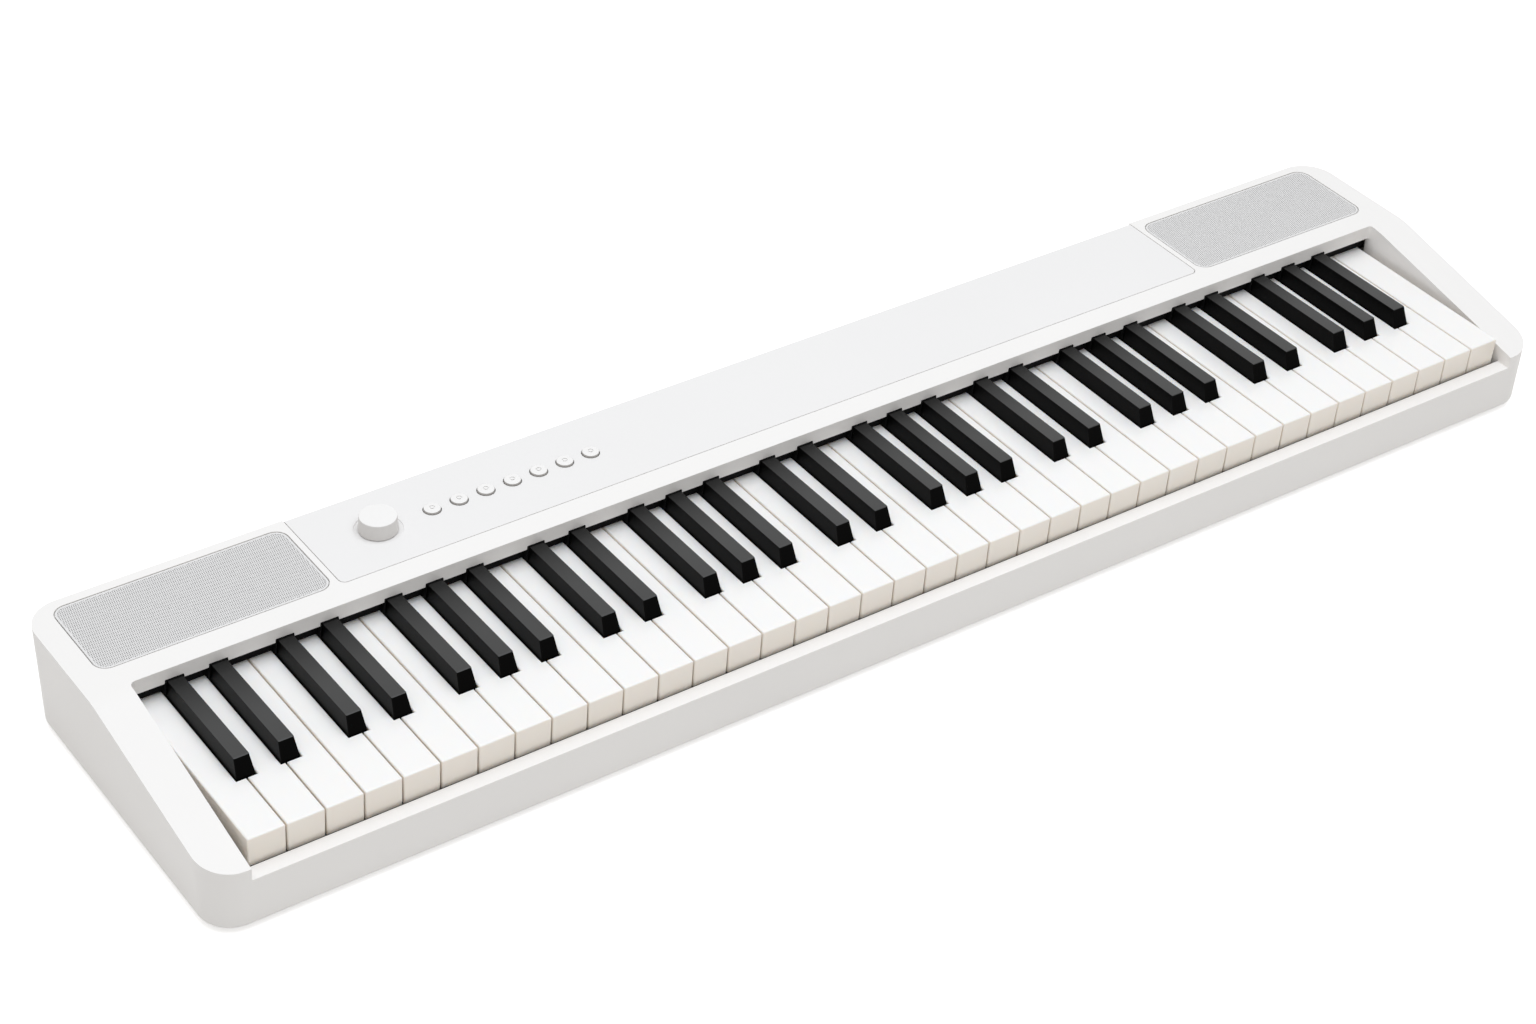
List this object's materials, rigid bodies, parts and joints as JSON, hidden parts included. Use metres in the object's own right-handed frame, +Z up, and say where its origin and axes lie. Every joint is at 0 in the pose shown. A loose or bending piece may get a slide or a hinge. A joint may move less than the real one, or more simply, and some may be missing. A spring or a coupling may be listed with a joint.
{
  "type": "portable keyboard",
  "caption": "Slim white portable keyboard with sprung piano-style keys in a sloping-cheeked case, a flush rear panel with a knob and round buttons, and a speaker grille at each end.",
  "frame": {"origin": "under the middle of the instrument, on the surface its feet stand on", "axes": "+X from the low keys to the high keys, +Y from the player to the rear, +Z up"},
  "size_m": [0.9734, 0.2276, 0.0813],
  "materials": {
    "case_white": "satin moulded",
    "panel_white": "satin",
    "key_white": "gloss",
    "key_black": "satin",
    "strip_black": "matt",
    "grille_metal": "perforated",
    "chassis_grey": "moulded",
    "foot_rubber": "matt",
    "silicone": "matt",
    "steel": "bright",
    "felt": "felt",
    "board_green": "solder mask",
    "speaker_black": "matt"
  },
  "bodies": {
    "case": {"collar_strip": "strip_black", "contact_board": "board_green", "control_panel": "panel_white", "dome_strip": "silicone", "foot_front_left": "foot_rubber", "foot_front_right": "foot_rubber", "foot_rear_left": "foot_rubber", "foot_rear_right": "foot_rubber", "grille_left": "grille_metal", "grille_right": "grille_metal", "key_chassis": "chassis_grey", "lower_case": "case_white", "main_board": "board_green", "panel_board": "board_green", "pivot_rod": "steel", "speaker_left": "speaker_black", "speaker_right": "speaker_black", "spring_comb": "steel", "stop_felt": "felt", "upper_case": "case_white"},
    "black_bank_1": {"black_bank_1": "key_black"},
    "black_bank_4": {"black_bank_4": "key_black"},
    "black_bank_5": {"black_bank_5": "key_black"},
    "black_bank_low": {"black_bank_low": "key_black"},
    "key_a2": {"key_a2": "key_white"},
    "key_a3": {"key_a3": "key_white"},
    "key_a_sharp2": {"key_a_sharp2": "key_black"},
    "key_a_sharp3": {"key_a_sharp3": "key_black"},
    "key_b2": {"key_b2": "key_white"},
    "key_b3": {"key_b3": "key_white"},
    "key_c2": {"key_c2": "key_white"},
    "key_c3": {"key_c3": "key_white"},
    "key_c_sharp2": {"key_c_sharp2": "key_black"},
    "key_c_sharp3": {"key_c_sharp3": "key_black"},
    "key_d2": {"key_d2": "key_white"},
    "key_d3": {"key_d3": "key_white"},
    "key_d_sharp2": {"key_d_sharp2": "key_black"},
    "key_d_sharp3": {"key_d_sharp3": "key_black"},
    "key_e2": {"key_e2": "key_white"},
    "key_e3": {"key_e3": "key_white"},
    "key_f2": {"key_f2": "key_white"},
    "key_f3": {"key_f3": "key_white"},
    "key_f_sharp2": {"key_f_sharp2": "key_black"},
    "key_f_sharp3": {"key_f_sharp3": "key_black"},
    "key_g2": {"key_g2": "key_white"},
    "key_g3": {"key_g3": "key_white"},
    "key_g_sharp2": {"key_g_sharp2": "key_black"},
    "key_g_sharp3": {"key_g_sharp3": "key_black"},
    "white_bank_1": {"white_bank_1": "key_white"},
    "white_bank_4": {"white_bank_4": "key_white"},
    "white_bank_5": {"white_bank_5": "key_white"},
    "white_bank_low": {"white_bank_low": "key_white"},
    "button_1": {"button_1": "case_white"},
    "button_2": {"button_2": "case_white"},
    "button_3": {"button_3": "case_white"},
    "button_4": {"button_4": "case_white"},
    "button_5": {"button_5": "case_white"},
    "button_6": {"button_6": "case_white"},
    "button_7": {"button_7": "case_white"},
    "volume_knob": {"volume_knob": "case_white"}
  },
  "joints": [
    {"name": "black_bank_1_press", "type": "hinge", "parent": "case", "child": "black_bank_1", "pos_m": [-0.305, 0.06595, 0.0435], "axis": [1, 0, 0], "range_deg": [0, 3.4], "stiffness_Nm_per_rad": 2.5, "springref_deg": -6.88},
    {"name": "black_bank_4_press", "type": "hinge", "parent": "case", "child": "black_bank_4", "pos_m": [0.1885, 0.06595, 0.0435], "axis": [1, 0, 0], "range_deg": [0, 3.4], "stiffness_Nm_per_rad": 2.5, "springref_deg": -6.88},
    {"name": "black_bank_5_press", "type": "hinge", "parent": "case", "child": "black_bank_5", "pos_m": [0.353, 0.06595, 0.0435], "axis": [1, 0, 0], "range_deg": [0, 3.4], "stiffness_Nm_per_rad": 2.5, "springref_deg": -6.88},
    {"name": "black_bank_low_press", "type": "hinge", "parent": "case", "child": "black_bank_low", "pos_m": [-0.42132, 0.06595, 0.0435], "axis": [1, 0, 0], "range_deg": [0, 3.4], "stiffness_Nm_per_rad": 1, "springref_deg": -6.88},
    {"name": "key_a2_press", "type": "hinge", "parent": "case", "child": "key_a2", "pos_m": [-0.094, 0.06595, 0.0435], "axis": [1, 0, 0], "range_deg": [0, 3.4], "stiffness_Nm_per_rad": 0.5, "springref_deg": -6.88},
    {"name": "key_a3_press", "type": "hinge", "parent": "case", "child": "key_a3", "pos_m": [0.0705, 0.06595, 0.0435], "axis": [1, 0, 0], "range_deg": [0, 3.4], "stiffness_Nm_per_rad": 0.5, "springref_deg": -6.88},
    {"name": "key_a_sharp2_press", "type": "hinge", "parent": "case", "child": "key_a_sharp2", "pos_m": [-0.07889, 0.06595, 0.0435], "axis": [1, 0, 0], "range_deg": [0, 3.4], "stiffness_Nm_per_rad": 0.5, "springref_deg": -6.88},
    {"name": "key_a_sharp3_press", "type": "hinge", "parent": "case", "child": "key_a_sharp3", "pos_m": [0.08561, 0.06595, 0.0435], "axis": [1, 0, 0], "range_deg": [0, 3.4], "stiffness_Nm_per_rad": 0.5, "springref_deg": -6.88},
    {"name": "key_b2_press", "type": "hinge", "parent": "case", "child": "key_b2", "pos_m": [-0.0705, 0.06595, 0.0435], "axis": [1, 0, 0], "range_deg": [0, 3.4], "stiffness_Nm_per_rad": 0.5, "springref_deg": -6.88},
    {"name": "key_b3_press", "type": "hinge", "parent": "case", "child": "key_b3", "pos_m": [0.094, 0.06595, 0.0435], "axis": [1, 0, 0], "range_deg": [0, 3.4], "stiffness_Nm_per_rad": 0.5, "springref_deg": -6.88},
    {"name": "key_c2_press", "type": "hinge", "parent": "case", "child": "key_c2", "pos_m": [-0.2115, 0.06595, 0.0435], "axis": [1, 0, 0], "range_deg": [0, 3.4], "stiffness_Nm_per_rad": 0.5, "springref_deg": -6.88},
    {"name": "key_c3_press", "type": "hinge", "parent": "case", "child": "key_c3", "pos_m": [-0.047, 0.06595, 0.0435], "axis": [1, 0, 0], "range_deg": [0, 3.4], "stiffness_Nm_per_rad": 0.5, "springref_deg": -6.88},
    {"name": "key_c_sharp2_press", "type": "hinge", "parent": "case", "child": "key_c_sharp2", "pos_m": [-0.2021, 0.06595, 0.0435], "axis": [1, 0, 0], "range_deg": [0, 3.4], "stiffness_Nm_per_rad": 0.5, "springref_deg": -6.88},
    {"name": "key_c_sharp3_press", "type": "hinge", "parent": "case", "child": "key_c_sharp3", "pos_m": [-0.0376, 0.06595, 0.0435], "axis": [1, 0, 0], "range_deg": [0, 3.4], "stiffness_Nm_per_rad": 0.5, "springref_deg": -6.88},
    {"name": "key_d2_press", "type": "hinge", "parent": "case", "child": "key_d2", "pos_m": [-0.188, 0.06595, 0.0435], "axis": [1, 0, 0], "range_deg": [0, 3.4], "stiffness_Nm_per_rad": 0.5, "springref_deg": -6.88},
    {"name": "key_d3_press", "type": "hinge", "parent": "case", "child": "key_d3", "pos_m": [-0.0235, 0.06595, 0.0435], "axis": [1, 0, 0], "range_deg": [0, 3.4], "stiffness_Nm_per_rad": 0.5, "springref_deg": -6.88},
    {"name": "key_d_sharp2_press", "type": "hinge", "parent": "case", "child": "key_d_sharp2", "pos_m": [-0.1739, 0.06595, 0.0435], "axis": [1, 0, 0], "range_deg": [0, 3.4], "stiffness_Nm_per_rad": 0.5, "springref_deg": -6.88},
    {"name": "key_d_sharp3_press", "type": "hinge", "parent": "case", "child": "key_d_sharp3", "pos_m": [-0.0094, 0.06595, 0.0435], "axis": [1, 0, 0], "range_deg": [0, 3.4], "stiffness_Nm_per_rad": 0.5, "springref_deg": -6.88},
    {"name": "key_e2_press", "type": "hinge", "parent": "case", "child": "key_e2", "pos_m": [-0.1645, 0.06595, 0.0435], "axis": [1, 0, 0], "range_deg": [0, 3.4], "stiffness_Nm_per_rad": 0.5, "springref_deg": -6.88},
    {"name": "key_e3_press", "type": "hinge", "parent": "case", "child": "key_e3", "pos_m": [0, 0.06595, 0.0435], "axis": [1, 0, 0], "range_deg": [0, 3.4], "stiffness_Nm_per_rad": 0.5, "springref_deg": -6.88},
    {"name": "key_f2_press", "type": "hinge", "parent": "case", "child": "key_f2", "pos_m": [-0.141, 0.06595, 0.0435], "axis": [1, 0, 0], "range_deg": [0, 3.4], "stiffness_Nm_per_rad": 0.5, "springref_deg": -6.88},
    {"name": "key_f3_press", "type": "hinge", "parent": "case", "child": "key_f3", "pos_m": [0.0235, 0.06595, 0.0435], "axis": [1, 0, 0], "range_deg": [0, 3.4], "stiffness_Nm_per_rad": 0.5, "springref_deg": -6.88},
    {"name": "key_f_sharp2_press", "type": "hinge", "parent": "case", "child": "key_f_sharp2", "pos_m": [-0.13261, 0.06595, 0.0435], "axis": [1, 0, 0], "range_deg": [0, 3.4], "stiffness_Nm_per_rad": 0.5, "springref_deg": -6.88},
    {"name": "key_f_sharp3_press", "type": "hinge", "parent": "case", "child": "key_f_sharp3", "pos_m": [0.03189, 0.06595, 0.0435], "axis": [1, 0, 0], "range_deg": [0, 3.4], "stiffness_Nm_per_rad": 0.5, "springref_deg": -6.88},
    {"name": "key_g2_press", "type": "hinge", "parent": "case", "child": "key_g2", "pos_m": [-0.1175, 0.06595, 0.0435], "axis": [1, 0, 0], "range_deg": [0, 3.4], "stiffness_Nm_per_rad": 0.5, "springref_deg": -6.88},
    {"name": "key_g3_press", "type": "hinge", "parent": "case", "child": "key_g3", "pos_m": [0.047, 0.06595, 0.0435], "axis": [1, 0, 0], "range_deg": [0, 3.4], "stiffness_Nm_per_rad": 0.5, "springref_deg": -6.88},
    {"name": "key_g_sharp2_press", "type": "hinge", "parent": "case", "child": "key_g_sharp2", "pos_m": [-0.10575, 0.06595, 0.0435], "axis": [1, 0, 0], "range_deg": [0, 3.4], "stiffness_Nm_per_rad": 0.5, "springref_deg": -6.88},
    {"name": "key_g_sharp3_press", "type": "hinge", "parent": "case", "child": "key_g_sharp3", "pos_m": [0.05875, 0.06595, 0.0435], "axis": [1, 0, 0], "range_deg": [0, 3.4], "stiffness_Nm_per_rad": 0.5, "springref_deg": -6.88},
    {"name": "white_bank_1_press", "type": "hinge", "parent": "case", "child": "white_bank_1", "pos_m": [-0.3055, 0.06595, 0.0435], "axis": [1, 0, 0], "range_deg": [0, 3.4], "stiffness_Nm_per_rad": 3.5, "springref_deg": -6.88},
    {"name": "white_bank_4_press", "type": "hinge", "parent": "case", "child": "white_bank_4", "pos_m": [0.188, 0.06595, 0.0435], "axis": [1, 0, 0], "range_deg": [0, 3.4], "stiffness_Nm_per_rad": 3.5, "springref_deg": -6.88},
    {"name": "white_bank_5_press", "type": "hinge", "parent": "case", "child": "white_bank_5", "pos_m": [0.36425, 0.06595, 0.0435], "axis": [1, 0, 0], "range_deg": [0, 3.4], "stiffness_Nm_per_rad": 4, "springref_deg": -6.88},
    {"name": "white_bank_low_press", "type": "hinge", "parent": "case", "child": "white_bank_low", "pos_m": [-0.423, 0.06595, 0.0435], "axis": [1, 0, 0], "range_deg": [0, 3.4], "stiffness_Nm_per_rad": 1.5, "springref_deg": -6.88},
    {"name": "button_1_press", "type": "slide", "parent": "case", "child": "button_1", "axis": [0, 0, -1], "range_m": [0, 0.001], "stiffness_N_per_m": 400, "springref_m": -0.002},
    {"name": "button_2_press", "type": "slide", "parent": "case", "child": "button_2", "axis": [0, 0, -1], "range_m": [0, 0.001], "stiffness_N_per_m": 400, "springref_m": -0.002},
    {"name": "button_3_press", "type": "slide", "parent": "case", "child": "button_3", "axis": [0, 0, -1], "range_m": [0, 0.001], "stiffness_N_per_m": 400, "springref_m": -0.002},
    {"name": "button_4_press", "type": "slide", "parent": "case", "child": "button_4", "axis": [0, 0, -1], "range_m": [0, 0.001], "stiffness_N_per_m": 400, "springref_m": -0.002},
    {"name": "button_5_press", "type": "slide", "parent": "case", "child": "button_5", "axis": [0, 0, -1], "range_m": [0, 0.001], "stiffness_N_per_m": 400, "springref_m": -0.002},
    {"name": "button_6_press", "type": "slide", "parent": "case", "child": "button_6", "axis": [0, 0, -1], "range_m": [0, 0.001], "stiffness_N_per_m": 400, "springref_m": -0.002},
    {"name": "button_7_press", "type": "slide", "parent": "case", "child": "button_7", "axis": [0, 0, -1], "range_m": [0, 0.001], "stiffness_N_per_m": 400, "springref_m": -0.002},
    {"name": "volume_turn", "type": "hinge", "parent": "case", "child": "volume_knob", "pos_m": [-0.27775, 0.07795, 0.0715], "axis": [0, 0, 1], "range_deg": [-150, 150]}
  ]
}
